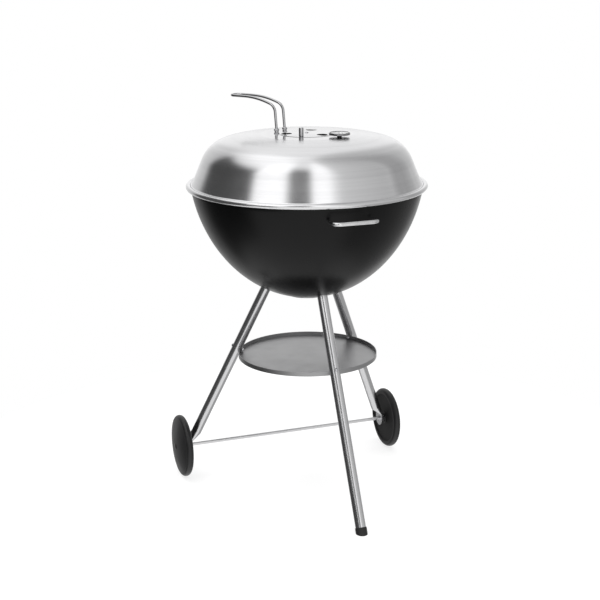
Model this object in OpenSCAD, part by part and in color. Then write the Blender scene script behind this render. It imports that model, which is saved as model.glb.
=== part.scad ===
// Kettle charcoal grill: an enamelled bowl and a steel lid on three splayed tube legs,
// with a low tray between the legs and two wheels on one axle behind.
// Millimetres, +Z up, floor at z = 0. The front leg points to -Y and the axle runs along X.
// Azimuths are measured about the kettle's axis, from -Y towards +X.

/* [Kettle] */
// Outer radius of the lid's rolled rim
rim_r = 290; // [282:1:298]
// Height of the rolled rim's centre above the floor
rim_z = 762.3; // [750:0.1:780]
// Vertical half axis of the bowl's elliptical section
bowl_h = 339.3; // [330:0.1:345]
// Sheet thickness of the bowl
bowl_t = 1.5; // [1.2:0.1:1.8]
// Height of the lid's flat top above the rim's centre
lid_rise = 122.7; // [118:0.1:128]
// Lean of the lid's wall from the vertical, in degrees
lid_lean = 22.6; // [21:0.1:24]
// Radius of the lid's shoulder
shoulder_r = 80; // [74:1:84]
// Radius of the arc between the shoulder and the flat top
crown_r = 402; // [380:1:430]
// Radius of the lid's flat top
flat_r = 100; // [96:1:104]
// Sheet thickness of the lid
lid_t = 1.2; // [1:0.1:1.5]

/* [Lid handle] */
// Radius of the handle's wire
wire_r = 3.25; // [3:0.05:3.5]
// Distance between the handle's two wires, centre to centre
wire_gap = 32.5; // [30:0.5:36]
// Distance from the lid's centre to the handle's feet
handle_foot_r = 76.7; // [75:0.1:80]
// Reach of the handle outwards from its feet, to the centre of the wire's end
handle_reach = 137.3; // [125:0.1:145]
// Azimuth of the handle
handle_az = -146.5; // [-150:0.5:-140]

/* [Top vent] */
// Radius of the vent plate
vent_r = 66; // [64:0.5:67]
// Radius of each vent hole
vent_hole_r = 13; // [11:0.5:14]
// Distance of the vent holes from the centre
vent_pitch_r = 50; // [47:0.5:51]
// Azimuth of the first vent hole
vent_az = 26; // [20:1:30]
// Height of the vent plate's knob
knob_h = 20; // [15:1:24]

/* [Thermometer] */
// Radius of the dial's bezel
bezel_r = 25; // [24:0.1:26]
// Distance of the dial from the lid's centre
dial_pos_r = 95; // [93:0.5:98]
// Azimuth of the dial
dial_az = 33; // [30:1:36]

/* [Bowl handle] */
// Radius of the bar
bar_r = 4.5; // [4:0.1:5]
// Distance between the two arms, centre to centre
bar_gap = 105; // [95:1:115]
// Distance from the kettle's axis to the bar's centre
bar_pos_r = 310; // [305:0.5:315]
// Height of the bar
bar_z = 727; // [722:0.5:730]

/* [Legs] */
// Outer radius of the leg tubes
leg_r = 12.5; // [12:0.1:13]
// Wall thickness of the leg tubes
leg_t = 1.5; // [1.2:0.1:2]
// Lean of the legs from the vertical, in degrees
leg_lean = 25.72; // [25.2:0.01:26.2]
// Distance from the kettle's axis to each leg's centre line at floor level
foot_r = 345.2; // [340:0.1:350]

/* [Tray] */
// Outer radius of the tray
tray_r = 171; // [168:0.5:173]
// Height of the tray's lip
tray_z = 343.6; // [340:0.1:350]
// Height of the tray's wall
tray_h = 10.5; // [10:0.1:12]

/* [Wheels] */
// Radius of the wheels
wheel_r = 78.9; // [76:0.1:82]
// Distance from the middle plane to the inner face of a wheel
wheel_in_x = 276.6; // [275:0.1:280]
// Width of the tread
tread_w = 17.2; // [15:0.1:18]
// Rise of the outer face above the tread's edge
dome_h = 11; // [9:0.1:12]
// Radius of the axle
axle_r = 4.5; // [4.2:0.1:4.8]
// Distance from the middle plane to the middle of a leg's flat end
tab_x = 266; // [264:0.1:267]

/* [Grates] */
// Radius of the cooking grate's ring, to the wire's centre
cook_r = 259; // [255:1:260]
// Height of the cooking grate
cook_z = 742; // [741:1:744]
// Height of the charcoal grate
coal_z = 592; // [592:1:610]

/* [Hidden] */
$fn = 96;

// Clearance between pieces that move, and the small step between pieces that touch
gap = 0.3;
seat = 0.05;

// Bowl section: half of an ellipse, then a short upright wall with a lip rolled inwards
bowl_r = rim_r - 5.3;
bowl_zc = rim_z + 65.8;
bowl_wall_r = rim_r - 12.8;
lip_r = 2.6;
lip_z = rim_z + 0.5;
bowl_steps = 30;
bowl_step = asin(bowl_wall_r / bowl_r) / bowl_steps;
bowl_bottom_z = bowl_zc - bowl_h;

// Lid section
bead_r = 6;
bead_pos_r = rim_r - bead_r;
lid_top_z = rim_z + lid_rise;
lid_wall_r = rim_r - 17.6;
lid_wall_z = rim_z + 12.7;
fillet_r = 5;
flange_z = rim_z + 4.7;

// Legs
leg_azimuths = [0, -120, 120];
axle_z = wheel_r;
axle_y = line_r(axle_z) * 0.5;
tab_t = 3;
tab_top_z = axle_z + 16;
tab_half_w = 18.5;
tube_end_z = 116;
leg_bore_r = leg_r - leg_t;
leg_len = entry(bowl_r, bowl_h) - 0.2;
inner_len = entry(bowl_r - bowl_t, bowl_h - bowl_t);
bolt_r = 4;

// The kettle's axis stands behind the origin, which is the middle of the whole footprint
cap_r = leg_r + 1.2;
cap_reach = foot_r + cap_r / cos(leg_lean);
kettle_y = (cap_reach - rim_r) / 2;

// Lid fittings
sheet_under_z = lid_top_z - lid_t;
plate_t = 1.7;
plate_z = lid_top_z + gap;
handle_rise = 49;
handle_tilt = 5;
handle_bend_r = 19;
handle_arc_r = 230;
handle_slope = 20;
stud_r = 3;
bend_end = [
    handle_rise * sin(handle_tilt) + handle_bend_r * (cos(handle_tilt) - sin(handle_slope)),
    handle_rise * cos(handle_tilt) + handle_bend_r * (cos(handle_slope) - sin(handle_tilt))
];
arc_end = bend_end + handle_arc_r * [sin(handle_slope), 1 - cos(handle_slope)];
straight_len = handle_reach - wire_gap / 2 - arc_end[0];
case_z = lid_top_z + 4.5;
needle_len = 17;

// Wires of the cooking grate: ring and rods
cook_wire_r = 3.5;
cook_rod_r = 2;

// The charcoal grate's ring lies against the bowl's wall
coal_wire_r = 4;
coal_r = bowl_radius(coal_z, -bowl_t - coal_wire_r - gap);

// Bottom vent
low_vent_pitch_r = 32;
low_vent_hole_r = 10;
low_plate_t = 1.2;
low_plate_steps = 4;
low_vent_az = -21;
low_knob_r = 38;

// ---------- helpers ----------

function arc(centre, r, a0, a1, n) =
    [for (i = [0:n]) centre + r * [cos(a0 + (a1 - a0) * i / n), sin(a0 + (a1 - a0) * i / n)]];

function reversed(points) = [for (i = [len(points) - 1:-1:0]) points[i]];

// Radius of a leg's centre line at a height
function line_r(z) = foot_r - z * tan(leg_lean);

// Point of the bowl's ellipse at a number of steps from the bottom, grown by a distance
function bowl_point(k, grow) =
    [(bowl_r + grow) * sin(k * bowl_step), bowl_zc - (bowl_h + grow) * cos(k * bowl_step)];

// Radius of the bowl's ellipse at a height, grown by a distance
function bowl_radius(z, grow) = (bowl_r + grow) * sqrt(1 - pow((bowl_zc - z) / (bowl_h + grow), 2));

// Distance along a leg, from the floor, at which its centre line enters an ellipse
function entry(r, h) =
    let (
        a = pow(sin(leg_lean) / r, 2) + pow(cos(leg_lean) / h, 2),
        b = foot_r * sin(leg_lean) / (r * r) + bowl_zc * cos(leg_lean) / (h * h),
        c = pow(foot_r / r, 2) + pow(bowl_zc / h, 2) - 1
    )
    (b - sqrt(b * b - a * c)) / a;

// Lid section, drawn inset by a distance from its outer surface
wall_dir = [-sin(lid_lean), cos(lid_lean)];
wall_out = [cos(lid_lean), sin(lid_lean)];
wall_foot = [lid_wall_r, lid_wall_z];
fillet_c = [
    lid_wall_r + (fillet_r + (lid_wall_z - flange_z - fillet_r) * sin(lid_lean)) / cos(lid_lean),
    flange_z + fillet_r
];
crown_c = [flat_r, lid_top_z - crown_r];
from_crown = wall_foot - shoulder_r * wall_out - crown_c;
along = from_crown * wall_dir;
shoulder_c = wall_foot - shoulder_r * wall_out + wall_dir
    * (sqrt(along * along - from_crown * from_crown + pow(crown_r - shoulder_r, 2)) - along);
crown_a = atan2(shoulder_c[1] - crown_c[1], shoulder_c[0] - crown_c[0]);

function lid_line(inset) = concat(
    [[bead_pos_r, flange_z - inset]],
    arc(fillet_c, fillet_r + inset, 270, 180 + lid_lean, 6),
    arc(shoulder_c, shoulder_r - inset, lid_lean, crown_a, 14),
    arc(crown_c, crown_r - inset, crown_a, 90, 10),
    [[0, lid_top_z - inset]]
);

module kettle() { translate([0, kettle_y, 0]) children(); }

// Places children at an azimuth, with -Y pointing outwards
module at_az(az) { rotate([0, 0, az]) children(); }

// Leg frame: +Z runs up the leg's centre line from the floor, -Y faces outwards
module leg_frame(az) {
    kettle() at_az(az) translate([0, -foot_r, 0]) rotate([-leg_lean, 0, 0]) children();
}

// Turns a shape drawn along +Z so that it lies along +X
module along_x() { rotate([0, 90, 0]) children(); }

// Turns a shape drawn along +Z so that it points outwards, along -Y
module outwards() { rotate([90, 0, 0]) children(); }

module ring(r_out, r_in, h) {
    difference() {
        cylinder(r = r_out, h = h);
        translate([0, 0, -1]) cylinder(r = r_in, h = h + 2);
    }
}

module hex_nut(across, h, hole_r) {
    difference() {
        cylinder(r = across / 2 / cos(30), h = h, $fn = 6);
        translate([0, 0, -1]) cylinder(r = hole_r, h = h + 2);
    }
}

// Closed nut with a domed end, opening at z = 0
module cap_nut(across, h, hole_r) {
    difference() {
        union() {
            cylinder(r = across / 2 / cos(30), h = h * 0.6, $fn = 6);
            translate([0, 0, h * 0.6 - 0.01]) intersection() {
                sphere(r = across / 2);
                cylinder(r = across, h = across);
            }
        }
        translate([0, 0, -1]) cylinder(r = hole_r, h = h * 0.6 + 1);
    }
}

// Low domed screw head of a radius, rising from z = 0
module dome_head(r, h) {
    ball_r = (r * r + h * h) / (2 * h);
    intersection() {
        translate([0, 0, h - ball_r]) sphere(r = ball_r);
        cylinder(r = r, h = h + 1);
    }
}

// Round wire bent through an angle in the XZ plane, starting at the origin along +Z
module wire_bend(bend_r, angle, r) {
    translate([bend_r, 0, 0]) rotate([90, 0, 180]) rotate_extrude(angle = angle)
        translate([bend_r, 0]) circle(r = r, $fn = 32);
}

// Solid inside the bowl's ellipse, grown by a distance
module bowl_space(grow) {
    rotate_extrude($fn = 360) polygon(concat(
        [for (k = [0:bowl_steps]) bowl_point(k, grow)],
        [[0, bowl_zc]]
    ));
}

// ---------- bowl ----------

module bowl_section() {
    outer = [for (k = [0:bowl_steps]) bowl_point(k, 0)];
    inner = [for (k = [0:bowl_steps]) bowl_point(k, -bowl_t)];
    polygon(concat(
        outer,
        [[bowl_wall_r, lip_z], [bowl_wall_r - bowl_t, lip_z]],
        reversed(inner)
    ));
    translate([bowl_wall_r - lip_r, lip_z]) circle(r = lip_r, $fn = 32);
}

module bowl_holes() {
    for (az = leg_azimuths) at_az(az) translate([0, -foot_r, 0]) rotate([-leg_lean, 0, 0])
        translate([0, 0, leg_len - 10]) cylinder(r = bolt_r + 0.3, h = 25);
    for (side = [-1, 1]) translate([side * bar_gap / 2, -bar_pos_r + 20, bar_z])
        rotate([-90, 0, 0]) cylinder(r = stud_r + 0.2, h = 60);
    for (az = [0, 120, 240]) at_az(low_vent_az + az)
        translate([0, -low_vent_pitch_r, bowl_bottom_z - 5]) cylinder(r = low_vent_hole_r, h = 20);
    translate([0, 0, bowl_bottom_z - 5]) cylinder(r = 3.3, h = 20);
}

module bowl_shell() {
    color([0.05, 0.05, 0.055]) kettle() difference() {
        rotate_extrude($fn = 180) bowl_section();
        bowl_holes();
    }
}

arm_corner_r = 11;
arm_y = arm_corner_r - bar_pos_r;
bar_nut_y = -sqrt(pow(bowl_radius(bar_z, -bowl_t), 2) - pow(bar_gap / 2, 2)) + 4.5;

// Arm of the bowl's handle: its bend, its straight part cut to the bowl, and its stud
module handle_arm(side) {
    translate([side * bar_gap / 2, arm_y, bar_z]) {
        rotate([90, 0, 0]) rotate([0, 0, side > 0 ? 180 : 0])
            wire_bend(arm_corner_r, 90, bar_r);
        rotate([-90, 0, 0]) cylinder(r = stud_r, h = bar_nut_y + 4.4 - arm_y);
    }
    difference() {
        translate([side * bar_gap / 2, arm_y, bar_z]) rotate([-90, 0, 0])
            cylinder(r = bar_r, h = 42);
        bowl_space(0.1);
    }
}

module bowl_handle() {
    color([0.8, 0.8, 0.82]) kettle() {
        handle_arm(-1);
        handle_arm(1);
        translate([arm_corner_r - bar_gap / 2, -bar_pos_r, bar_z]) along_x()
            cylinder(r = bar_r, h = bar_gap - 2 * arm_corner_r);
    }
}

module bowl_handle_washers() {
    color([0.7, 0.7, 0.72]) kettle() for (side = [-1, 1]) intersection() {
        translate([side * bar_gap / 2, bar_nut_y, bar_z]) outwards() ring(7, stud_r + 0.2, 12);
        bowl_space(-bowl_t - 0.15);
    }
}

module bowl_handle_nuts() {
    color([0.7, 0.7, 0.72]) kettle() for (side = [-1, 1])
        translate([side * bar_gap / 2, bar_nut_y + seat, bar_z]) rotate([-90, 0, 0])
            cap_nut(10, 8, stud_r + 0.1);
}

// Three brackets: a ledge under the cooking grate and a foot that lies on the bowl's wall
module grate_supports() {
    ledge_z = cook_z - cook_wire_r - gap - 2;
    foot_len = 30;
    wall_r = bowl_radius(ledge_z, -bowl_t) - 0.4;
    slope = atan2(wall_r + 0.4 - bowl_radius(ledge_z - foot_len, -bowl_t), foot_len);
    color([0.45, 0.45, 0.46]) kettle() for (az = [60, 180, 300]) at_az(az)
        translate([0, -wall_r, ledge_z]) {
            translate([-9, 0, 0]) cube([18, 22, 2]);
            rotate([slope, 0, 0]) translate([-8, 0, -foot_len]) cube([16, 2, foot_len + 1]);
        }
}

// ---------- legs ----------

module tube_screw_hole() {
    translate([0, 0, screw_s]) outwards() translate([0, 0, -leg_r - 5]) cylinder(r = 2.2, h = 60);
}

// Distance along the leg at which the tray's screw crosses it
screw_s = (tray_z + 2.4) / cos(leg_lean);

module leg_front() {
    color([0.72, 0.72, 0.74]) leg_frame(0) difference() {
        translate([0, 0, 12]) cylinder(r = leg_r, h = leg_len - 12);
        translate([0, 0, 11]) cylinder(r = leg_bore_r, h = leg_len);
        tube_screw_hole();
    }
}

// Outline of a rear leg's flat end, as seen along the axle, with the axle at the origin
module tab_outline() {
    circle(r = tab_half_w);
    translate([-tab_half_w, 0]) square([2 * tab_half_w, tab_top_z - axle_z]);
}

// Rear leg: a tube that is pressed flat at its lower end and drilled for the axle
module rear_leg(side) {
    tube_s = tube_end_z / cos(leg_lean);
    difference() {
        union() {
            leg_frame(side * 120) translate([0, 0, tube_s])
                cylinder(r = leg_r, h = leg_len - tube_s);
            hull() {
                leg_frame(side * 120) translate([0, 0, tube_s])
                    cylinder(r = leg_r - 0.05, h = 2, $fn = 40);
                translate([side * tab_x - tab_t / 2, kettle_y + axle_y - tab_half_w, tab_top_z - 2])
                    cube([tab_t, 2 * tab_half_w, 1]);
            }
            translate([side * tab_x - tab_t / 2, kettle_y + axle_y, axle_z])
                rotate([90, 0, 90]) linear_extrude(tab_t) tab_outline();
        }
        leg_frame(side * 120) translate([0, 0, tube_s + 1]) cylinder(r = leg_bore_r, h = leg_len);
        leg_frame(side * 120) tube_screw_hole();
        translate([side * tab_x - 10, kettle_y + axle_y, axle_z]) along_x()
            cylinder(r = axle_r + 0.1, h = 20);
    }
}

module leg_left() { color([0.72, 0.72, 0.74]) rear_leg(-1); }

module leg_right() { color([0.72, 0.72, 0.74]) rear_leg(1); }

// Threaded plugs that close the tops of the tubes
module leg_plugs() {
    color([0.55, 0.55, 0.56]) for (az = leg_azimuths) leg_frame(az)
        translate([0, 0, leg_len - 32]) ring(leg_bore_r - seat, bolt_r + seat, 31);
}

washer_s = inner_len + 0.7;

module leg_washers() {
    color([0.6, 0.6, 0.62]) for (az = leg_azimuths) leg_frame(az)
        translate([0, 0, washer_s]) ring(12, bolt_r + 0.2, 1.6);
}

module leg_bolts() {
    color([0.65, 0.65, 0.67]) for (az = leg_azimuths) leg_frame(az) {
        translate([0, 0, leg_len - 26]) cylinder(r = bolt_r, h = washer_s + 1.7 - leg_len + 26);
        translate([0, 0, washer_s + 1.6 + seat]) cylinder(r = 7.5, h = 5.3, $fn = 6);
    }
}

// Moulded cap on the front leg, cut level with the floor
module foot_cap() {
    color([0.06, 0.06, 0.06]) difference() {
        leg_frame(0) difference() {
            translate([0, 0, -12]) cylinder(r = cap_r, h = 26);
            translate([0, 0, 12 - seat]) cylinder(r = leg_r + seat, h = 20);
            translate([0, 0, 8]) cylinder(r = leg_bore_r - 1.5, h = 10);
        }
        translate([-50, kettle_y - foot_r - 50, -30]) cube([100, 100, 30]);
    }
}

// ---------- tray ----------

// A disc of a radius with a hollow for each leg, which grows the leg by a distance
module tray_disc(r, z, h, grow) {
    difference() {
        translate([0, kettle_y, z]) cylinder(r = r, h = h, $fn = 180);
        for (az = leg_azimuths) leg_frame(az) translate([0, 0, screw_s - 40])
            cylinder(r = leg_r + grow, h = 80);
    }
}

tray_t = 1.2;

module shelf_tray() {
    color([0.6, 0.6, 0.61]) difference() {
        tray_disc(tray_r, tray_z - tray_h, tray_h, 0.2);
        tray_disc(tray_r - tray_t, tray_z - tray_h + tray_t, tray_h, 0.2 + tray_t);
        for (az = leg_azimuths) leg_frame(az) tube_screw_hole();
    }
}

module shelf_screws() {
    color([0.7, 0.7, 0.72]) for (az = leg_azimuths) leg_frame(az)
        translate([0, 0, screw_s]) outwards() {
            translate([0, 0, leg_r + seat]) dome_head(4.5, 2.6);
            translate([0, 0, -leg_r - 5]) cylinder(r = 2, h = 2 * leg_r + 5 + 1);
        }
}

module shelf_nuts() {
    color([0.7, 0.7, 0.72]) for (az = leg_azimuths) leg_frame(az)
        translate([0, 0, screw_s]) rotate([-90, 0, 0])
            translate([0, 0, leg_r + 0.2 + tray_t + 0.35]) hex_nut(7, 2.6, 2 + seat);
}

// ---------- axle and wheels ----------

dome_x = wheel_in_x + tread_w + dome_h;
axle_end_x = dome_x - 1.5;

module on_axle() { translate([0, kettle_y + axle_y, axle_z]) children(); }

module axle_rod() {
    color([0.78, 0.78, 0.8]) on_axle() translate([-axle_end_x, 0, 0]) along_x()
        cylinder(r = axle_r, h = 2 * axle_end_x);
}

// Sleeves that keep the wheels clear of the legs
module wheel_spacers() {
    start = tab_x + tab_t / 2 + seat;
    color([0.12, 0.12, 0.12]) on_axle() for (side = [0, 1]) mirror([side, 0, 0])
        translate([start, 0, 0]) along_x() ring(8, axle_r + 0.1, wheel_in_x - 2 - start);
}

module axle_washers() {
    color([0.7, 0.7, 0.72]) on_axle() for (side = [0, 1]) mirror([side, 0, 0])
        translate([wheel_in_x - 2 + seat, 0, 0]) along_x() ring(9.5, axle_r + 0.1, 1.5);
}

// Push-on clips on the axle, inside the legs
module axle_clips() {
    color([0.5, 0.5, 0.52]) on_axle() for (side = [0, 1]) mirror([side, 0, 0])
        translate([tab_x - tab_t / 2 - 1.3 - seat, 0, 0]) along_x() ring(7, axle_r + seat, 1.3);
}

// Half section of a wheel, with its radius along x and its thickness along y, inner face at 0
module wheel_section() {
    edge_r = tread_w / 2;
    face_r = wheel_r - edge_r;
    ball_r = (face_r * face_r + dome_h * dome_h) / (2 * dome_h);
    dome_a = asin(face_r / ball_r);
    polygon(concat(
        [[axle_r + 0.08, 0], [15, 0], [17, 6], [62, 6], [66, 0]],
        arc([wheel_r - edge_r, edge_r], edge_r, -90, 75, 11),
        arc([0, tread_w + dome_h - ball_r], ball_r, 90 - dome_a, 90 - asin(9 / ball_r), 12),
        [[9, tread_w + dome_h - 3], [axle_r + 0.08, tread_w + dome_h - 3]]
    ));
}

// Moulded wheel: domed outside, with ribs in the recess of its inner face
module wheel() {
    translate([wheel_in_x, 0, 0]) along_x() {
        rotate_extrude($fn = 120) wheel_section();
        for (a = [0:45:315]) rotate([0, 0, a]) translate([16, -1.5, 1]) cube([48, 3, 5.5]);
    }
}

// Cap pressed into the recess of the wheel's outer face
module wheel_cap() {
    cap_x = dome_x - 1.2;
    translate([cap_x, 0, 0]) along_x() {
        cylinder(r = 8.9, h = 1.2);
        translate([0, 0, 1.15]) dome_head(8.9, 1.5);
    }
}

module wheel_left() { color([0.07, 0.07, 0.07]) on_axle() mirror([1, 0, 0]) wheel(); }

module wheel_right() { color([0.07, 0.07, 0.07]) on_axle() wheel(); }

module wheel_left_cap() { color([0.03, 0.03, 0.03]) on_axle() mirror([1, 0, 0]) wheel_cap(); }

module wheel_right_cap() { color([0.03, 0.03, 0.03]) on_axle() wheel_cap(); }

// ---------- grates ----------

// Wire grate: a ring, parallel rods inside it and two cross bars
module wire_grate(r, ring_r, rod_r, pitch, cross_y) {
    rows = floor((r - ring_r) / pitch);
    rotate_extrude($fn = 120) translate([r, 0]) circle(r = ring_r, $fn = 32);
    for (i = [-rows:rows]) {
        half = sqrt(r * r - pow(i * pitch, 2));
        translate([i * pitch, half, 0]) outwards() cylinder(r = rod_r, h = 2 * half, $fn = 24);
    }
    for (side = [-1, 1]) {
        half = sqrt(r * r - cross_y * cross_y);
        translate([-half, side * cross_y, 0]) along_x() cylinder(r = rod_r + 0.8, h = 2 * half);
    }
}

module cooking_grate() {
    color([0.75, 0.75, 0.77]) kettle() translate([0, 0, cook_z])
        wire_grate(cook_r, cook_wire_r, cook_rod_r, 20, 120);
}

// Loops welded on top of the cooking grate's rods, one at each side
module grate_handles() {
    color([0.75, 0.75, 0.77]) kettle() for (side = [-1, 1])
        translate([side * 200, 0, cook_z + cook_rod_r + seat]) rotate([90, 0, 90])
            rotate_extrude(angle = 180) translate([22, 0]) circle(r = 2.6, $fn = 32);
}

module charcoal_grate() {
    color([0.4, 0.4, 0.41]) kettle() translate([0, 0, coal_z])
        wire_grate(coal_r, coal_wire_r, 3, 22, 90);
}

// ---------- bottom vent ----------

// Dished plate that turns under the bowl
module bottom_vent_plate() {
    upper = [for (k = [0:low_plate_steps]) bowl_point(k, gap)];
    lower = [for (k = [0:low_plate_steps]) bowl_point(k, gap + low_plate_t)];
    color([0.5, 0.5, 0.52]) kettle() difference() {
        rotate_extrude() polygon(concat(lower, reversed(upper)));
        for (az = [0, 120, 240]) at_az(low_vent_az + az)
            translate([0, -low_vent_pitch_r, bowl_bottom_z - 10])
                cylinder(r = low_vent_hole_r, h = 20);
        translate([0, 0, bowl_bottom_z - 10]) cylinder(r = 3.3, h = 20);
        at_az(low_vent_az + 180) translate([0, -low_knob_r, bowl_bottom_z - 10])
            cylinder(r = 2.4 + seat, h = 20);
    }
}

// Post that turns the vent plate, held by a neck that sits in the plate
module bottom_vent_knob() {
    under_z = bowl_zc - (bowl_h + gap + low_plate_t) * sqrt(1 - pow(low_knob_r / bowl_r, 2));
    color([0.75, 0.75, 0.77]) kettle() at_az(low_vent_az + 180)
        translate([0, -low_knob_r, under_z]) {
            translate([0, 0, -17]) cylinder(r = 4.5, h = 16);
            translate([0, 0, -17]) cylinder(r = 5.5, h = 4);
            translate([0, 0, -2]) cylinder(r = 2.4, h = 2.7);
        }
}

module bottom_vent_pivot() {
    under_z = bowl_bottom_z - 2 * gap - low_plate_t;
    color([0.7, 0.7, 0.72]) kettle() {
        translate([0, 0, under_z]) mirror([0, 0, 1]) dome_head(7, 3);
        translate([0, 0, under_z - 0.5]) cylinder(r = 3, h = 12);
    }
}

module bottom_vent_nut() {
    color([0.7, 0.7, 0.72]) kettle() translate([0, 0, bowl_bottom_z + bowl_t + 0.2])
        hex_nut(10, 5, 3 + seat);
}

// ---------- lid ----------

module at_handle(side) {
    kettle() at_az(handle_az) translate([side * wire_gap / 2, -handle_foot_r, lid_top_z])
        children();
}

module at_dial(z) {
    kettle() at_az(dial_az) translate([0, -dial_pos_r, z]) children();
}

module vent_holes(z, h) {
    for (az = [0, 120, 240]) at_az(vent_az + az) translate([0, -vent_pitch_r, z])
        cylinder(r = vent_hole_r, h = h);
}

module lid_shell() {
    color([0.75, 0.75, 0.76]) difference() {
        kettle() {
            rotate_extrude($fn = 180) polygon(concat(lid_line(0), reversed(lid_line(lid_t))));
            translate([0, 0, rim_z]) rotate_extrude($fn = 180) translate([bead_pos_r, 0])
                circle(r = bead_r, $fn = 48);
        }
        kettle() vent_holes(lid_top_z - 5, 10);
        kettle() translate([0, 0, lid_top_z - 5]) cylinder(r = 3.3, h = 10);
        for (side = [-1, 1]) at_handle(side) translate([0, 0, -5])
            cylinder(r = stud_r + 0.2, h = 10);
        at_dial(lid_top_z - 5) cylinder(r = 4.3, h = 10);
    }
}

// Short sleeve that joins two lengths of wire, drawn along +Z
module sleeve() { translate([0, 0, -0.6]) cylinder(r = wire_r + 0.05, h = 1.2); }

// One wire of the handle, drawn in the XZ plane with +X outwards, from its stud to its far end
module handle_wire() {
    translate([0, 0, -9]) cylinder(r = stud_r, h = 11);
    rotate([0, handle_tilt, 0]) {
        translate([0, 0, 0.4]) cylinder(r = wire_r, h = handle_rise - 0.5);
        translate([0, 0, handle_rise]) {
            sleeve();
            wire_bend(handle_bend_r, 89.5 - handle_slope - handle_tilt, wire_r);
        }
    }
    translate([bend_end[0], 0, bend_end[1]]) rotate([0, 90 - handle_slope, 0]) {
        sleeve();
        wire_bend(handle_arc_r, handle_slope, wire_r);
    }
    translate([arc_end[0], 0, arc_end[1]]) along_x() {
        sleeve();
        translate([0, 0, 0.1]) cylinder(r = wire_r, h = straight_len - 0.2);
        translate([0, 0, straight_len]) sleeve();
    }
}

module lid_handle() {
    color([0.82, 0.82, 0.84]) kettle() at_az(handle_az)
        translate([0, -handle_foot_r, lid_top_z]) rotate([0, 0, -90]) {
            translate([0, -wire_gap / 2, 0]) handle_wire();
            translate([0, wire_gap / 2, 0]) handle_wire();
            translate([arc_end[0] + straight_len, 0, arc_end[1]]) rotate([0, 0, -90])
                rotate_extrude(angle = 180) translate([wire_gap / 2, 0])
                    circle(r = wire_r, $fn = 32);
        }
}

module lid_handle_collars() {
    color([0.82, 0.82, 0.84]) for (side = [-1, 1]) at_handle(side) difference() {
        union() {
            translate([0, 0, seat]) cylinder(r = 5.2, h = 8);
            translate([0, 0, 1.5]) cylinder(r = 6, h = 4.5);
        }
        translate([0, 0, -0.1]) rotate([0, 0, -90]) rotate([0, handle_tilt, 0])
            translate([0, 0, -1]) cylinder(r = wire_r + 0.08, h = 12);
    }
}

module lid_handle_washers() {
    color([0.7, 0.7, 0.72]) for (side = [-1, 1]) at_handle(side)
        translate([0, 0, -lid_t - 1.2 - seat]) ring(7, stud_r + 0.2, 1.2);
}

module lid_handle_nuts() {
    color([0.7, 0.7, 0.72]) for (side = [-1, 1]) at_handle(side)
        translate([0, 0, -lid_t - 1.2 - 2 * seat]) mirror([0, 0, 1])
            cap_nut(10, 12, stud_r + seat);
}

// ---------- top vent ----------

module top_vent_plate() {
    color([0.78, 0.78, 0.8]) kettle() difference() {
        translate([0, 0, plate_z]) cylinder(r = vent_r, h = plate_t);
        vent_holes(plate_z - 1, plate_t + 2);
        translate([0, 0, plate_z - 1]) cylinder(r = 3.3, h = plate_t + 2);
        at_az(vent_az - 60) translate([0, -vent_r + 9, plate_z - 1])
            cylinder(r = 2.5 + seat, h = plate_t + 2);
    }
}

// Post that turns the vent plate, riveted through it
module top_vent_knob() {
    knob_r = 5.6;
    color([0.82, 0.82, 0.84]) kettle() at_az(vent_az - 60) translate([0, -vent_r + 9, plate_z]) {
        cylinder(r = 2.5, h = plate_t + 1);
        translate([0, 0, plate_t + seat]) cylinder(r = knob_r, h = knob_h - 1);
        translate([0, 0, plate_t + seat + knob_h - 1]) cylinder(r1 = knob_r, r2 = knob_r - 1, h = 1);
    }
}

module top_vent_pivot() {
    over_z = plate_z + plate_t + gap;
    color([0.75, 0.75, 0.77]) kettle() {
        translate([0, 0, over_z]) dome_head(5, 1.8);
        translate([0, 0, over_z - 13]) cylinder(r = 3, h = 13.2);
    }
}

module top_vent_spring_washer() {
    color([0.6, 0.6, 0.62]) kettle() translate([0, 0, sheet_under_z - 1.4 - seat])
        ring(7.5, 3.2, 1.4);
}

module top_vent_nut() {
    color([0.7, 0.7, 0.72]) kettle() translate([0, 0, sheet_under_z - 1.4 - 2 * seat - 5])
        hex_nut(10, 5, 3 + seat);
}

// ---------- thermometer ----------

module thermometer_case() {
    color([0.7, 0.7, 0.72]) at_dial(case_z) difference() {
        cylinder(r = bezel_r - 1, h = 4.9);
        translate([0, 0, 1.5]) cylinder(r = bezel_r - 1.8, h = 5);
        translate([0, 0, 0.6]) cylinder(r = 3, h = 5);
    }
}

module thermometer_bezel() {
    color([0.8, 0.8, 0.82]) at_dial(case_z) difference() {
        translate([0, 0, 0.1]) cylinder(r = bezel_r, h = 5.6);
        translate([0, 0, -1]) cylinder(r = bezel_r - 0.95, h = 5.95);
        cylinder(r = bezel_r - 2.8, h = 8);
    }
}

module thermometer_dial() {
    color([0.92, 0.92, 0.9]) at_dial(case_z + 1.5 + seat) ring(bezel_r - 1.9, 1.3, 0.5);
}

module thermometer_needle() {
    color([0.1, 0.1, 0.1]) at_dial(case_z + 2.5) {
        cylinder(r = 1.6, h = 0.5);
        translate([0, 0, -1.6]) cylinder(r = 0.9, h = 2);
        linear_extrude(0.4) polygon([[-1, 6], [1, 6], [0.35, -needle_len], [-0.35, -needle_len]]);
    }
}

module thermometer_glass() {
    color([0.8, 0.85, 0.88]) at_dial(case_z + 4) cylinder(r = bezel_r - 1.9, h = 0.85);
}

module thermometer_stem() {
    color([0.7, 0.7, 0.72]) at_dial(0) {
        translate([0, 0, lid_top_z + seat]) cylinder(r = 5.5, h = 4.5 - 2 * seat);
        translate([0, 0, sheet_under_z - 8]) cylinder(r = 4, h = 8 + lid_t + 1);
        translate([0, 0, sheet_under_z - 60]) cylinder(r = 2.5, h = 55);
    }
}

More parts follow.
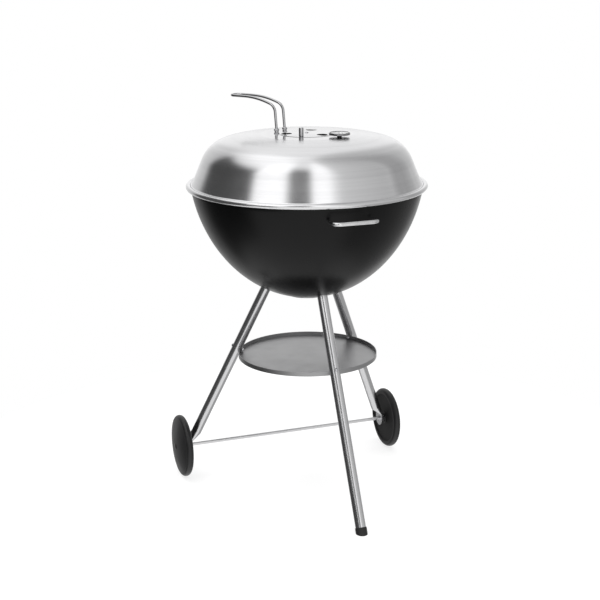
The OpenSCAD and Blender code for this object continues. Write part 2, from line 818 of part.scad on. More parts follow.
module thermometer_nut() {
    color([0.7, 0.7, 0.72]) at_dial(sheet_under_z - seat - 5) hex_nut(13, 5, 4 + seat);
}

bowl_shell();
bowl_handle();
bowl_handle_washers();
bowl_handle_nuts();
grate_supports();
leg_front();
leg_left();
leg_right();
leg_plugs();
leg_washers();
leg_bolts();
foot_cap();
shelf_tray();
shelf_screws();
shelf_nuts();
axle_rod();
wheel_spacers();
axle_washers();
axle_clips();
wheel_left();
wheel_left_cap();
wheel_right();
wheel_right_cap();
cooking_grate();
grate_handles();
charcoal_grate();
bottom_vent_plate();
bottom_vent_knob();
bottom_vent_pivot();
bottom_vent_nut();
lid_shell();
lid_handle();
lid_handle_collars();
lid_handle_washers();
lid_handle_nuts();
top_vent_plate();
top_vent_knob();
top_vent_pivot();
top_vent_spring_washer();
top_vent_nut();
thermometer_case();
thermometer_bezel();
thermometer_dial();
thermometer_glass();
thermometer_needle();
thermometer_stem();
thermometer_nut();
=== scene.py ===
import math
import bmesh
import bpy
from mathutils import Matrix, Vector


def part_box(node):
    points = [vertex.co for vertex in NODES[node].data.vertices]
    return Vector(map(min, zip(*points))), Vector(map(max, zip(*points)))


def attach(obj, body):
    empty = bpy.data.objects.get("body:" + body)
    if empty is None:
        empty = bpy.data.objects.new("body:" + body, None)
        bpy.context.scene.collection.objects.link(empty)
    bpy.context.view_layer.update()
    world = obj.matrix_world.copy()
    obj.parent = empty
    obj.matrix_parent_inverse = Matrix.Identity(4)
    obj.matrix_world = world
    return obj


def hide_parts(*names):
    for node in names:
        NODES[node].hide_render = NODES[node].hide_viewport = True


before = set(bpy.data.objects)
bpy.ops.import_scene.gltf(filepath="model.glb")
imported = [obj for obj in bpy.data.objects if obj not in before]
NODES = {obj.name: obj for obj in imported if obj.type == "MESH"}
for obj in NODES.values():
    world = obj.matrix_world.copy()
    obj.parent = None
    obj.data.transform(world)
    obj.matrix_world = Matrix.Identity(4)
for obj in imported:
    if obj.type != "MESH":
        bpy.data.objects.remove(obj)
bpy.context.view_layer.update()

# ---------- places, all worked out from the frame ----------


def low(node):
    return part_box(node)[0]


def high(node):
    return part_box(node)[1]


def centre(node):
    lo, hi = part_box(node)
    return (Vector(lo) + Vector(hi)) / 2


BOWL_LO, BOWL_HI = low("bowl_shell"), high("bowl_shell")
LID_LO, LID_HI = low("lid_shell"), high("lid_shell")
AXIS = Vector((0.0, (LID_LO[1] + LID_HI[1]) / 2, 0.0))
RIM_R = (LID_HI[0] - LID_LO[0]) / 2
BOWL_WALL_R = (BOWL_HI[0] - BOWL_LO[0]) / 2
BOWL_BOTTOM = BOWL_LO[2]
LIP_TOP = BOWL_HI[2]
LID_TOP = LID_HI[2]
BEAD_R = 0.006
BEAD_Z = LID_LO[2] + BEAD_R
AXLE = centre("wheel_left_cap")
LEG_LEAN = 25.72
TURNS = 256


def on_axis(azimuth, radius, z):
    """A point round the kettle's axis; azimuth in degrees from -Y towards +X."""
    a = math.radians(azimuth)
    return Vector((radius * math.sin(a), AXIS.y - radius * math.cos(a), z))


# ---------- mesh helpers ----------


def arc(cx, cy, radius, start, end, steps):
    """Points on a circle's arc, angles in degrees."""
    angles = [math.radians(start + (end - start) * i / steps) for i in range(steps + 1)]
    return [(cx + radius * math.cos(a), cy + radius * math.sin(a)) for a in angles]


def new_object(name, mesh, material, sharp=35.0):
    mesh.validate()
    mesh.shade_smooth()
    mesh.set_sharp_from_angle(angle=math.radians(sharp))
    mesh.materials.append(material)
    piece = bpy.data.objects.new(name, mesh)
    bpy.context.collection.objects.link(piece)
    return piece


def lathe(name, outline, material, place=None, turns=TURNS, closed=True, sharp=35.0):
    """Revolves (radius, height) points about a vertical axis; radius 0 makes a pole."""
    place = place or Matrix.Translation(AXIS)
    bm = bmesh.new()
    rings = []
    for r, z in outline:
        if r < 1e-7:
            rings.append([bm.verts.new(place @ Vector((0, 0, z)))])
            continue
        angles = [2 * math.pi * i / turns for i in range(turns)]
        rings.append([bm.verts.new(place @ Vector((r * math.sin(a), -r * math.cos(a), z)))
                      for a in angles])
    pairs = list(zip(rings, rings[1:]))
    if closed and len(rings[0]) > 1 and len(rings[-1]) > 1:
        pairs.append((rings[-1], rings[0]))
    for a, b in pairs:
        for i in range(turns):
            j = (i + 1) % turns
            if len(a) == 1 and len(b) == 1:
                break
            if len(a) == 1:
                bm.faces.new((a[0], b[j], b[i]))
            elif len(b) == 1:
                bm.faces.new((a[i], a[j], b[0]))
            else:
                bm.faces.new((a[i], a[j], b[j], b[i]))
    bmesh.ops.recalc_face_normals(bm, faces=bm.faces)
    mesh = bpy.data.meshes.new(name)
    bm.to_mesh(mesh)
    bm.free()
    return new_object(name, mesh, material, sharp)


def drill(piece, holes, sharp=35.0):
    """Cuts vertical round holes, each (centre, radius, height of the cut)."""
    bm = bmesh.new()
    for point, radius, depth in holes:
        bmesh.ops.create_cone(
            bm, cap_ends=True, segments=64, radius1=radius, radius2=radius, depth=depth,
            matrix=Matrix.Translation(point))
    mesh = bpy.data.meshes.new(piece.name + "_cutter")
    bm.to_mesh(mesh)
    bm.free()
    cutter = bpy.data.objects.new(mesh.name, mesh)
    bpy.context.collection.objects.link(cutter)
    cut = piece.modifiers.new("holes", "BOOLEAN")
    cut.object = cutter
    cut.operation = "DIFFERENCE"
    cut.solver = "EXACT"
    bpy.context.view_layer.update()
    shape = bpy.data.meshes.new_from_object(
        piece.evaluated_get(bpy.context.evaluated_depsgraph_get()))
    piece.modifiers.clear()
    piece.data = shape
    shape.shade_smooth()
    shape.set_sharp_from_angle(angle=math.radians(sharp))
    bpy.data.objects.remove(cutter)


# ---------- materials ----------


class Nodes:
    """A node tree: each helper adds a node and returns its output."""

    def __init__(self, tree, coords):
        self.tree = tree
        self.tree.nodes.clear()
        self.coords = self.node("ShaderNodeTexCoord").outputs[coords]

    def node(self, kind, **values):
        made = self.tree.nodes.new(kind)
        for key, value in values.items():
            setattr(made, key, value)
        return made

    def link(self, a, b):
        self.tree.links.new(a, b)

    def mapped(self, scale=(1, 1, 1), turn=(0, 0, 0), move=(0, 0, 0), source=None):
        box = self.node("ShaderNodeMapping")
        box.inputs["Scale"].default_value = scale
        box.inputs["Rotation"].default_value = turn
        box.inputs["Location"].default_value = move
        self.link(source or self.coords, box.inputs[0])
        return box.outputs[0]

    def noise(self, scale, detail=4.0, rough=0.6, source=None, distortion=0.0):
        made = self.node("ShaderNodeTexNoise")
        made.inputs["Scale"].default_value = scale
        made.inputs["Detail"].default_value = detail
        made.inputs["Roughness"].default_value = rough
        made.inputs["Distortion"].default_value = distortion
        self.link(source or self.coords, made.inputs["Vector"])
        return made.outputs["Fac"]

    def math(self, operation, a, b=0.0, c=0.0):
        made = self.node("ShaderNodeMath", operation=operation)
        for socket, value in zip(made.inputs, (a, b, c)):
            if isinstance(value, (int, float)):
                socket.default_value = value
            else:
                self.link(value, socket)
        return made.outputs[0]

    def ramp(self, source, low_in, high_in, low_out, high_out, kind="LINEAR"):
        made = self.node("ShaderNodeMapRange", interpolation_type=kind)
        for name, value in zip(("From Min", "From Max", "To Min", "To Max"),
                               (low_in, high_in, low_out, high_out)):
            made.inputs[name].default_value = value
        self.link(source, made.inputs["Value"])
        return made.outputs[0]

    def mix(self, fac, a, b):
        made = self.node("ShaderNodeMix", data_type="RGBA")
        made.inputs["A"].default_value = (*a, 1.0)
        made.inputs["B"].default_value = (*b, 1.0)
        for name, value in (("A", a), ("B", b)):
            if not isinstance(value, tuple):
                self.link(value, made.inputs[name])
        self.link(fac, made.inputs["Factor"])
        return made.outputs["Result"]


class Look(Nodes):
    """A node material round one Principled shader."""

    def __init__(self, name, color, metallic=0.0, roughness=0.5):
        self.material = bpy.data.materials.new(name)
        self.material.use_nodes = True
        super().__init__(self.material.node_tree, "Object")
        self.shader = self.node("ShaderNodeBsdfPrincipled")
        out = self.node("ShaderNodeOutputMaterial")
        self.link(self.shader.outputs[0], out.inputs[0])
        self.set("Base Color", (*color, 1.0))
        self.set("Metallic", metallic)
        self.set("Roughness", roughness)

    def set(self, socket, value):
        self.shader.inputs[socket].default_value = value

    def bump(self, height, strength, distance=0.001, before=None):
        made = self.node("ShaderNodeBump")
        made.inputs["Strength"].default_value = strength
        made.inputs["Distance"].default_value = distance
        self.link(height, made.inputs["Height"])
        if before is not None:
            self.link(before, made.inputs["Normal"])
        self.link(made.outputs[0], self.shader.inputs["Normal"])
        return made.outputs[0]


def spun_steel(name):
    """Satin steel spun on a lathe: fine rings about the kettle's axis."""
    look = Look(name, (0.76, 0.76, 0.77), metallic=1.0, roughness=0.24)
    look.set("Anisotropic", 0.7)
    look.set("Anisotropic Rotation", 0.25)
    place = look.mapped(move=(-AXIS.x, -AXIS.y, 0))
    split = look.node("ShaderNodeSeparateXYZ")
    look.link(place, split.inputs[0])
    radius = look.math("SQRT", look.math("ADD", look.math("POWER", split.outputs[0], 2.0),
                                         look.math("POWER", split.outputs[1], 2.0)))
    rings = look.node("ShaderNodeCombineXYZ")
    look.link(radius, rings.inputs[0])
    look.link(split.outputs[2], rings.inputs[1])
    fine = look.noise(1400.0, 3.0, 0.7, rings.outputs[0])
    broad = look.noise(70.0, 3.0, 0.6, rings.outputs[0])
    patches = look.noise(9.0, 3.0, 0.55)
    tangent = look.node("ShaderNodeTangent", direction_type="RADIAL", axis="Z")
    look.link(tangent.outputs[0], look.shader.inputs["Tangent"])
    smear = look.math("ADD", look.ramp(fine, 0.3, 0.7, -0.03, 0.03),
                      look.ramp(patches, 0.35, 0.7, -0.02, 0.02))
    smear = look.math("ADD", smear, look.ramp(radius, 0.095, 0.125, 0.13, 0.235, "SMOOTHSTEP"))
    look.link(smear, look.shader.inputs["Roughness"])
    tone = look.math("ADD", look.math("MULTIPLY", fine, 0.25), look.math("MULTIPLY", broad, 0.75))
    look.link(look.mix(look.ramp(tone, 0.3, 0.7, 0.0, 1.0), (0.7, 0.7, 0.71), (0.8, 0.8, 0.81)),
              look.shader.inputs["Base Color"])
    first = look.bump(broad, 0.03, 0.0001)
    look.bump(fine, 0.05, 0.0001, first)
    return look.material


def brushed(name, color, roughness, direction, streak=1.0, scale=900.0):
    """Drawn or brushed metal: streaks run along a direction in the object's frame."""
    look = Look(name, color, metallic=1.0, roughness=roughness)
    axis = Vector(direction).normalized()
    turn = axis.to_track_quat("Z", "Y").inverted().to_euler()
    local = look.mapped(turn=turn)
    streaks = look.noise(scale, 3.0, 0.65, look.mapped(scale=(1, 1, 0.03), source=local))
    stains = look.noise(28.0, 4.0, 0.6)
    look.link(look.math("ADD", look.ramp(streaks, 0.3, 0.7, -0.05, 0.05),
                        look.ramp(stains, 0.3, 0.75, roughness - 0.03, roughness + 0.05)),
              look.shader.inputs["Roughness"])
    dark = tuple(c * (1 - 0.12 * streak) for c in color)
    look.link(look.mix(look.ramp(streaks, 0.3, 0.7, 0.0, 1.0), dark, color),
              look.shader.inputs["Base Color"])
    look.bump(streaks, 0.06 * streak, 0.0002)
    return look.material


def bright_metal(name, color, roughness):
    """Polished or plated metal with faint smudges and handling marks."""
    look = Look(name, color, metallic=1.0, roughness=roughness)
    smudges = look.noise(60.0, 5.0, 0.65)
    scratches = look.noise(700.0, 2.0, 0.5, look.mapped(scale=(1, 0.15, 1)))
    look.link(look.ramp(smudges, 0.3, 0.75, roughness * 0.7, roughness * 1.5),
              look.shader.inputs["Roughness"])
    dark = tuple(c * 0.88 for c in color)
    look.link(look.mix(look.ramp(smudges, 0.35, 0.65, 0.0, 1.0), color, dark),
              look.shader.inputs["Base Color"])
    look.bump(scratches, 0.03, 0.0001)
    return look.material


def enamel():
    """Black vitreous enamel: faint orange peel under a satin gloss."""
    look = Look("black_enamel", (0.012, 0.012, 0.0125), roughness=0.34)
    look.set("Specular IOR Level", 0.2)
    peel = look.noise(420.0, 2.0, 0.5)
    cloud = look.noise(16.0, 4.0, 0.6)
    specks = look.noise(1800.0, 1.0, 0.5)
    look.link(look.ramp(cloud, 0.3, 0.7, 0.27, 0.33), look.shader.inputs["Roughness"])
    look.link(look.mix(look.ramp(specks, 0.62, 0.75, 0.0, 1.0), (0.002, 0.002, 0.0021),
                       (0.01, 0.01, 0.0105)), look.shader.inputs["Base Color"])
    look.bump(peel, 0.05, 0.0004)
    return look.material


def moulded(name, color, roughness, grain=900.0, strength=0.12):
    """Moulded plastic or rubber with a fine spark-eroded grain."""
    look = Look(name, color, roughness=roughness)
    look.set("Specular IOR Level", 0.4)
    pores = look.noise(grain, 3.0, 0.6)
    flow = look.noise(24.0, 4.0, 0.6)
    look.link(look.ramp(flow, 0.3, 0.7, roughness - 0.06, roughness + 0.06),
              look.shader.inputs["Roughness"])
    pale = tuple(c * 1.25 + 0.004 for c in color)
    look.link(look.mix(look.ramp(flow, 0.3, 0.7, 0.0, 1.0), color, pale),
              look.shader.inputs["Base Color"])
    look.bump(pores, strength, 0.0003)
    return look.material


def clear_glass():
    """Thin clear cover with the faintest smears."""
    look = Look("dial_glass", (0.97, 0.98, 0.98), roughness=0.03)
    look.set("Transmission Weight", 1.0)
    smears = look.noise(90.0, 4.0, 0.6)
    look.link(look.ramp(smears, 0.4, 0.8, 0.01, 0.06), look.shader.inputs["Roughness"])
    look.bump(smears, 0.02, 0.0001)
    return look.material


def leg_axis(azimuth):
    a, lean = math.radians(azimuth), math.radians(LEG_LEAN)
    return (-math.sin(a) * math.sin(lean), math.cos(a) * math.sin(lean), math.cos(lean))


def finish(node, material):
    """Gives a carried-over CAD node its material."""
    for slot in NODES[node].material_slots:
        slot.material = material


# ---------- one material for each finish ----------

STEEL = spun_steel("spun_steel")
ENAMEL = enamel()
WHEEL = moulded("wheel_plastic", (0.010, 0.010, 0.0105), 0.42)
# Painted shade: a darker copy of the wheel plastic, put on the recessed inner face of each wheel
WHEEL_INSIDE_SHADE = moulded("wheel_inside_painted_shade", (0.002, 0.002, 0.002), 0.55, 600.0, 0.08)
HUB = moulded("hub_plastic", (0.012, 0.012, 0.012), 0.3, 600.0, 0.05)
FOOT = moulded("foot_rubber", (0.012, 0.012, 0.012), 0.6)
WIRE = bright_metal("polished_wire", (0.56, 0.56, 0.57), 0.1)
BEZEL = bright_metal("bezel_ring", (0.3, 0.3, 0.305), 0.14)
BAR = bright_metal("satin_bar", (0.78, 0.78, 0.79), 0.2)
FIXING = bright_metal("plated_fixings", (0.62, 0.62, 0.64), 0.28)
TUBES = {name: brushed(name + "_steel", (0.68, 0.68, 0.69), 0.2, leg_axis(side), 0.5)
         for name, side in (("leg_front", 0), ("leg_left", -120), ("leg_right", 120))}
TRAY = brushed("tray_steel", (0.40, 0.40, 0.405), 0.42, (1, 0, 0), 0.6)
ROD = brushed("axle_steel", (0.78, 0.78, 0.79), 0.3, (1, 0, 0))
PLATE = spun_steel("vent_steel")
LOW_PLATE = brushed("low_vent_steel", (0.5, 0.5, 0.51), 0.35, (1, 0, 0))
DARK = moulded("dark_bracket", (0.05, 0.05, 0.05), 0.5)
CASE = moulded("dial_case", (0.03, 0.03, 0.03), 0.4)
DIAL = moulded("dial_face", (0.85, 0.85, 0.83), 0.45, 500.0, 0.04)
NEEDLE = moulded("dial_needle", (0.02, 0.02, 0.02), 0.45)
GLASS = clear_glass()
GRATE = bright_metal("grate_plating", (0.7, 0.7, 0.71), 0.25)
COAL = bright_metal("coal_grate_steel", (0.3, 0.3, 0.31), 0.45)

# The CAD nodes that stay as they are, by finish
FINISHES = {
    BAR: ["bottom_vent_knob"],
    FIXING: ["bowl_handle_washers", "bowl_handle_nuts", "leg_plugs", "leg_washers", "leg_bolts",
             "shelf_screws", "shelf_nuts", "axle_washers", "axle_clips", "bottom_vent_pivot",
             "bottom_vent_nut", "lid_handle_washers", "lid_handle_nuts", "top_vent_pivot",
             "top_vent_spring_washer", "top_vent_nut", "thermometer_nut"],
    DARK: ["grate_supports", "wheel_spacers"],
    CASE: ["thermometer_case", "thermometer_stem"],
    DIAL: ["thermometer_dial"],
    NEEDLE: ["thermometer_needle"],
    GLASS: ["thermometer_glass"],
    TUBES["leg_front"]: ["leg_front"],
    TUBES["leg_left"]: ["leg_left"],
    TUBES["leg_right"]: ["leg_right"],
    FOOT: ["foot_cap"],
    TRAY: ["shelf_tray"],
    ROD: ["axle_rod"],
    HUB: ["wheel_left_cap", "wheel_right_cap"],
    GRATE: ["cooking_grate", "grate_handles"],
    COAL: ["charcoal_grate"],
    LOW_PLATE: ["bottom_vent_plate"],
    WIRE: ["top_vent_knob"],
}
for look_material, names in FINISHES.items():
    for node_name in names:
        finish(node_name, look_material)

# ---------- lid and bowl, smooth ----------

SHEET = 0.0012


def lid_outline(inset):
    """Outer line of the lid from the rim's top to the centre, drawn inset by a distance."""
    lean = math.radians(22.6)
    up = Vector((-math.sin(lean), math.cos(lean)))
    out = Vector((math.cos(lean), math.sin(lean)))
    foot = Vector((RIM_R - 0.0176, BEAD_Z + 0.0127))
    flange = BEAD_Z + 0.0047
    shoulder, crown, flat, fillet = 0.08, 0.402, 0.1, 0.0038
    crown_c = Vector((flat, LID_TOP - crown))
    gap = foot - shoulder * out - crown_c
    along = gap.dot(up)
    step = math.sqrt(along * along - gap.dot(gap) + (crown - shoulder) ** 2) - along
    shoulder_c = foot - shoulder * out + up * step
    turn = math.degrees(math.atan2(shoulder_c.y - crown_c.y, shoulder_c.x - crown_c.x))
    rise = foot.y - flange - fillet
    fillet_c = (foot.x + (fillet + rise * math.sin(lean)) / math.cos(lean), flange + fillet)
    return (arc(*fillet_c, fillet + inset, 270, 180 + 22.6, 8)
            + arc(*shoulder_c, shoulder - inset, 22.6, turn, 40)
            + arc(*crown_c, crown - inset, turn, 90, 24)
            + [(flat * 0.5, LID_TOP - inset), (0.0, LID_TOP - inset)])


def vent_holes(z):
    """The three holes that the lid and its vent plate share when the vent is open."""
    return [(on_axis(26 + i * 120, 0.05, z), 0.013, 0.02) for i in range(3)]


def make_lid():
    """Spun shell with the sheet rolled into a bead round the rim."""
    bead = RIM_R - BEAD_R
    inner = list(reversed(lid_outline(SHEET)))
    outline = (inner + [(bead - BEAD_R * 0.9, BEAD_Z + 0.0035)]
               + arc(bead, BEAD_Z, BEAD_R, 160, 498, 40)
               + [(bead - 0.0050, BEAD_Z + 0.0016)] + lid_outline(0.0))
    lid = lathe("lid_skin", outline, STEEL, closed=False)
    drill(lid, vent_holes(LID_TOP))
    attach(lid, "lid")
    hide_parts("lid_shell")


def make_bowl():
    """Half an ellipse in section, with a small roll round the lip."""
    a, b = BOWL_WALL_R + 0.0075, 0.3393
    top = BOWL_BOTTOM + b
    sheet = 0.0015
    edge = math.asin(BOWL_WALL_R / a)
    steps = 90
    angles = [edge * i / steps for i in range(steps + 1)]
    outer = [(a * math.sin(t), top - b * math.cos(t)) for t in angles]
    inner = [((a - sheet) * math.sin(t), top - (b - sheet) * math.cos(t)) for t in angles]
    lip = 0.0026
    roll = arc(BOWL_WALL_R - lip, LIP_TOP - lip, lip, 0, 300, 24)
    outline = outer + roll + [(BOWL_WALL_R - sheet, LIP_TOP - 2 * lip)] + inner[::-1]
    bowl = lathe("bowl_skin", outline, ENAMEL, closed=False)
    holes = [(on_axis(-21 + i * 120, 0.032, BOWL_BOTTOM + 0.005), 0.01, 0.03) for i in range(3)]
    drill(bowl, holes)
    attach(bowl, "base")
    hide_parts("bowl_shell")


make_lid()
make_bowl()

# ---------- swept wires ----------


def sweep(name, points, radius, material, sides=24):
    """Round wire along a line of points, with closed ends."""
    bm = bmesh.new()
    rings = []
    ahead = (points[1] - points[0]).normalized()
    across = ahead.orthogonal().normalized()
    for i, point in enumerate(points):
        before, after = points[max(i - 1, 0)], points[min(i + 1, len(points) - 1)]
        way = (after - before).normalized()
        across = (across - across.dot(way) * way).normalized()
        other = way.cross(across)
        turns = [2 * math.pi * k / sides for k in range(sides)]
        rings.append([bm.verts.new(point + radius * (math.cos(t) * across + math.sin(t) * other))
                      for t in turns])
    for a, b in zip(rings, rings[1:]):
        for k in range(sides):
            j = (k + 1) % sides
            bm.faces.new((a[k], a[j], b[j], b[k]))
    bm.faces.new(rings[0][::-1])
    bm.faces.new(rings[-1])
    bmesh.ops.recalc_face_normals(bm, faces=bm.faces)
    mesh = bpy.data.meshes.new(name)
    bm.to_mesh(mesh)
    bm.free()
    return new_object(name, mesh, material)


def rounded(corners, radii, steps=12):
    """A line through corner points, with each inner corner rounded to a radius."""
    line = [corners[0]]
    for before, corner, after, radius in zip(corners, corners[1:], corners[2:], radii):
        a, b = (before - corner).normalized(), (after - corner).normalized()
        half = a.angle(b) / 2
        start, end = corner + a * radius / math.tan(half), corner + b * radius / math.tan(half)
        middle = corner + (a + b).normalized() * radius / math.sin(half)
        u, v = start - middle, end - middle
        full = u.angle(v)
        for i in range(steps + 1):
            t = full * i / steps
            line.append(middle + (u * math.sin(full - t) + v * math.sin(t)) / math.sin(full))
    line.append(corners[-1])
    return line


def make_bowl_handle():
    """Round bar bent twice; its ends run into the bowl's wall."""
    lo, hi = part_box("bowl_handle")
    r = 0.0045
    z = (lo[2] + hi[2]) / 2
    front = lo[1] + r
    wall = AXIS.y - math.sqrt((BOWL_WALL_R + 0.003) ** 2 - 0.05 ** 2)
    left, right = lo[0] + r, hi[0] - r
    corners = [Vector((left, wall, z)), Vector((left, front, z)),
               Vector((right, front, z)), Vector((right, wall, z))]
    piece = sweep("bowl_handle_bar", rounded(corners, [0.014, 0.014]), r, BAR)
    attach(piece, "base")
    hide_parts("bowl_handle")


HANDLE_AZ = -146.5
HANDLE_FOOT_R = 0.0767
HANDLE_GAP = 0.0325
WIRE_R = 0.00325


def make_lid_handle():
    """One wire: up from a foot, over a tight bend, along a slow arc and back round."""
    out = on_axis(HANDLE_AZ, 1.0, 0) - AXIS
    side = Vector((0, 0, 1)).cross(out)
    foot = on_axis(HANDLE_AZ, HANDLE_FOOT_R, LID_TOP)
    outline = [(0.0, 0.0004), (0.0053, 0.0609), (0.0548, 0.0789), (0.1276, 0.0789)]
    flat = rounded([Vector((u, 0, z)) for u, z in outline], [0.023, 0.23], 20)

    def placed(point, shift):
        return foot + out * point.x + Vector((0, 0, point.z)) + side * shift

    half = HANDLE_GAP / 2
    near = [placed(q, -half) for q in flat]
    far = [placed(q, half) for q in reversed(flat)]
    end = flat[-1]
    loop = [placed(end, 0) + out * half * math.cos(t) + side * half * math.sin(t)
            for t in (math.radians(-90 + 10 * i) for i in range(1, 18))]
    piece = sweep("lid_handle_wire", near + loop + far, WIRE_R, WIRE)
    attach(piece, "lid")
    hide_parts("lid_handle")


def make_collars():
    """Two small turned collars where the wire enters the lid."""
    for name, half in (("near", -1), ("far", 1)):
        out = on_axis(HANDLE_AZ, 1.0, 0) - AXIS
        side = Vector((0, 0, 1)).cross(out)
        place = Matrix.Translation(on_axis(HANDLE_AZ, HANDLE_FOOT_R, LID_TOP)
                                   + side * half * HANDLE_GAP / 2 + out * 0.0004)
        outline = ([(0.0034, 0.0002), (0.0052, 0.0002)] + arc(0.0032, 0.0046, 0.0032, -55, 75, 14)
                   + [(0.0036, 0.0086), (0.0034, 0.0086)])
        piece = lathe("collar_" + name, outline, WIRE, place, 48)
        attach(piece, "lid")
    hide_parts("lid_handle_collars")


def make_top_vent():
    """Vent plate: a thin disc, very slightly coned."""
    lo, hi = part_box("top_vent_plate")
    radius = (hi[0] - lo[0]) / 2
    outline = [(0.0034, lo[2]), (radius, lo[2]), (radius, lo[2] + 0.0003),
               (radius - 0.012, hi[2]), (0.0034, hi[2])]
    piece = lathe("top_vent_disc", outline, PLATE)
    drill(piece, vent_holes(hi[2]))
    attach(piece, "top_vent")
    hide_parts("top_vent_plate")


def make_bezel():
    """Rolled ring round the thermometer's glass."""
    lo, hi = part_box("thermometer_bezel")
    middle = centre("thermometer_bezel")
    radius = (hi[0] - lo[0]) / 2
    outline = ([(radius - 0.0009, lo[2]), (radius, lo[2] + 0.0006)]
               + arc(radius - 0.0018, hi[2] - 0.0018, 0.0018, 0, 180, 16)
               + [(radius - 0.0036, hi[2] - 0.0026), (radius - 0.0009, hi[2] - 0.0026)])
    place = Matrix.Translation(Vector((middle.x, middle.y, 0)))
    piece = lathe("bezel_ring", outline, BEZEL, place, 96)
    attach(piece, "lid")
    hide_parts("thermometer_bezel")


def make_dial_marks():
    """Raised ink: ticks round the dial and a dark arc over the middle third."""
    middle = centre("thermometer_dial")
    top = high("thermometer_dial")[2]
    bm = bmesh.new()
    for i in range(31):
        a = math.radians(-135 + 9 * i)
        length, width = (0.0032, 0.0005) if i % 5 == 0 else (0.0018, 0.0003)
        box = bmesh.ops.create_cube(bm, size=1.0)["verts"]
        place = (Matrix.Translation((middle.x, middle.y, top + 0.00005))
                 @ Matrix.Rotation(a, 4, "Z") @ Matrix.Translation((0, 0.0195 - length / 2, 0))
                 @ Matrix.Diagonal((width, length, 0.0001, 1)))
        bmesh.ops.transform(bm, matrix=place, verts=box)
    for i in range(36):
        a, b = (math.radians(-45 + 2.5 * k) for k in (i, i + 1))
        ring = [bm.verts.new((middle.x + r * math.sin(t), middle.y + r * math.cos(t), top + 0.0001))
                for r, t in ((0.0138, a), (0.0150, a), (0.0150, b), (0.0138, b))]
        bm.faces.new(ring)
    mesh = bpy.data.meshes.new("dial_marks")
    bm.to_mesh(mesh)
    bm.free()
    piece = new_object("dial_marks", mesh, NEEDLE)
    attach(piece, "lid")


def make_wheel(side, node):
    """Domed outer face, round tread and a recessed inner face, turned about the axle."""
    lo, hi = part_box(node)
    inner = min(abs(lo[0]), abs(hi[0]))
    width = max(abs(lo[0]), abs(hi[0])) - inner
    radius = (hi[2] - lo[2]) / 2
    tread, bore, hub_seat, rim = 0.00925, 0.0046, 0.009, 0.013
    face, dome = radius - tread, width - 2 * tread
    ball = (face * face + dome * dome) / (2 * dome)
    lean = math.degrees(math.asin(face / ball))
    top = math.degrees(math.asin((hub_seat + 0.0005) / ball))
    recess = [(bore, 0), (0.0145, 0), (0.015, 0.0004), (0.016, 0.0025), (radius - rim - 0.002, 0.0025),
              (radius - rim - 0.0005, 0.0004), (radius - rim, 0)]
    outline = ([(bore, 0.0045), (radius - rim, 0.0045), recess[-1]]
               + arc(face, tread, tread, -88, 74, 26)
               + arc(0, width - ball, ball, 90 - lean, 90 - top, 40)
               + [(hub_seat, width - 0.0008), (hub_seat, width - 0.003), (bore, width - 0.003)])
    place = (Matrix.Translation((side * inner, AXLE.y, AXLE.z))
             @ Matrix.Rotation(math.radians(90 * side), 4, "Y"))
    # The recessed inner face takes the darker copy of the wheel plastic: painted shade in the recess
    inside = lathe(node + "_inside", recess + [(radius - rim - 0.0002, 0.0044), (bore, 0.0044)],
                   WHEEL_INSIDE_SHADE, place, 180)
    piece = lathe(node + "_moulding", outline, WHEEL, place, 180)
    for part in (inside, piece):
        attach(part, node)
    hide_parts(node)


def round_tray_edge():
    edge = NODES["shelf_tray"].modifiers.new("edge", "BEVEL")
    edge.width = 0.0012
    edge.segments = 3
    edge.limit_method = "ANGLE"
    edge.angle_limit = math.radians(50)


make_bowl_handle()
make_lid_handle()
make_collars()
make_top_vent()
make_bezel()
make_dial_marks()
make_wheel(-1, "wheel_left")
make_wheel(1, "wheel_right")
round_tray_edge()

# ---------- studio ----------

VIEW_AZ = -20.976
CAM_DISTANCE = 3.186
CAM_HEIGHT = 1.3327
CAM_PITCH = 15.074
CAM_ROLL = -0.258
LENS = 80.51
SHIFT = -7.4 / 600


class Studio(Nodes):
    """World light: panels set out by azimuth and elevation as seen from the camera."""

    def __init__(self, level):
        world = bpy.data.worlds.new("studio")
        bpy.context.scene.world = world
        world.use_nodes = True
        super().__init__(world.node_tree, "Generated")
        turned = self.mapped(turn=(0, 0, math.radians(-VIEW_AZ)))
        parts = self.node("ShaderNodeSeparateXYZ")
        self.link(turned, parts.inputs[0])
        x, y, z = parts.outputs
        side = self.math("ARCTAN2", x, self.math("MULTIPLY", y, -1.0))
        self.azimuth = self.math("DEGREES", side)
        self.elevation = self.math("DEGREES", self.math("ARCSINE", z))
        self.value = level

    def window(self, source, start, end, soft):
        rise = self.ramp(source, start - soft, start + soft, 0, 1, "SMOOTHSTEP")
        fall = self.ramp(source, end - soft, end + soft, 1, 0, "SMOOTHSTEP")
        return self.math("MULTIPLY", rise, fall)

    def panel(self, level, azimuths, elevations, soft_az=6.0, soft_el=8.0):
        """Blends a level (or a left-to-right pair) into the sky inside a window."""
        if isinstance(level, tuple):
            level = self.ramp(self.azimuth, azimuths[0], azimuths[1], level[0], level[1])
        spot = self.math("MULTIPLY", self.window(self.azimuth, *azimuths, soft_az),
                         self.window(self.elevation, *elevations, soft_el))
        kept = self.math("MULTIPLY", self.value, self.math("SUBTRACT", 1.0, spot))
        self.value = self.math("ADD", kept, self.math("MULTIPLY", spot, level))

    def done(self):
        """The backdrop itself stays plain white; only its light and reflections have panels."""
        seen = self.node("ShaderNodeLightPath").outputs["Is Camera Ray"]
        shader = self.node("ShaderNodeBackground")
        shader.inputs["Color"].default_value = (1, 1, 1, 1)
        self.link(self.math("MAXIMUM", self.value, seen), shader.inputs["Strength"])
        out = self.node("ShaderNodeOutputWorld")
        self.link(shader.outputs[0], out.inputs[0])


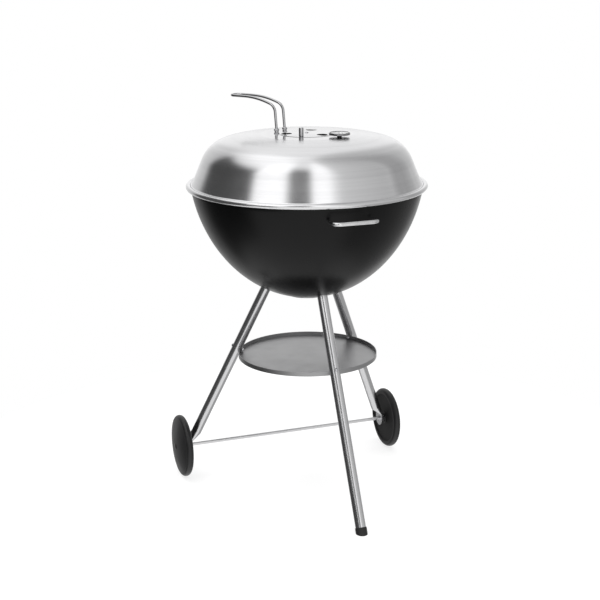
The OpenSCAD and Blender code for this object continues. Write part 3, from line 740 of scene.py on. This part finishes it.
def studio_world():
    """White studio with grey and black cards beside it and two bright softboxes in front."""
    sky = Studio(1.0)
    sky.panel((0.85, 0.55), (-166, -128), (-10, 40), 4)
    sky.panel((0.72, 0.4), (-166, -120), (-50, -10), 6)
    sky.panel(1.3, (-152, -40), (52, 82), 8)
    sky.panel((0.72, 0.52), (36, 100), (-10, 84), 5, 6)
    sky.panel((0.52, 0.30), (100, 116), (-10, 84), 3, 6)
    sky.panel((0.34, 0.52), (116, 140), (-10, 84), 2, 6)
    sky.panel((0.52, 0.8), (140, 166), (-10, 84), 3, 6)
    sky.panel(0.45, (50, 150), (-60, -8), 9, 6)
    sky.panel(0.07, (-131, -62), (-48, 41), 6, 6)
    sky.panel(0.08, (-75, -27), (-25, 19), 4, 4)
    sky.panel(0.17, (-21, 4), (15, 56), 4, 8)
    sky.panel(1.5, (-61, -24), (23, 76), 3, 5)
    sky.panel(1.4, (7, 29), (25, 78), 3, 8)
    sky.done()


def floor_light():
    """Broad overhead light, meant for the matt paper; it lights every matt surface, but never the
    reflections.
    """
    data = bpy.data.lights.new("floor_light", "SUN")
    data.energy = 1.4
    data.angle = math.radians(60)
    lamp = bpy.data.objects.new("floor_light", data)
    lamp.visible_glossy = False
    bpy.context.collection.objects.link(lamp)


def place_camera():
    data = bpy.data.cameras.new("camera")
    data.sensor_width = 36.0
    data.lens = LENS
    data.shift_x = SHIFT
    cam = bpy.data.objects.new("camera", data)
    bpy.context.collection.objects.link(cam)
    a = math.radians(VIEW_AZ)
    cam.location = AXIS + Vector((CAM_DISTANCE * math.sin(a), -CAM_DISTANCE * math.cos(a), CAM_HEIGHT))
    p = math.radians(CAM_PITCH)
    ahead = Vector((-math.sin(a) * math.cos(p), math.cos(a) * math.cos(p), -math.sin(p)))
    turn = ahead.to_track_quat("-Z", "Y").to_matrix().to_4x4()
    cam.matrix_world = Matrix.Translation(cam.location) @ turn @ Matrix.Rotation(
        math.radians(CAM_ROLL), 4, "Z")
    bpy.context.scene.camera = cam


def make_floor():
    """Pale paper disc just under the wheels; it is left out of the reflections."""
    bpy.ops.mesh.primitive_circle_add(
        vertices=128, radius=1.0, fill_type="NGON", location=(0, AXIS.y, -0.0005))
    floor = bpy.context.object
    floor.name = "floor"
    floor.visible_glossy = False
    look = Look("floor_paper", (0.34, 0.34, 0.34), roughness=0.9)
    look.set("Specular IOR Level", 0.0)
    look.set("Emission Color", (1, 1, 1, 1))
    look.set("Emission Strength", 0.76)
    floor.data.materials.append(look.material)


studio_world()
floor_light()
place_camera()
make_floor()
bpy.context.scene.view_settings.view_transform = "Standard"
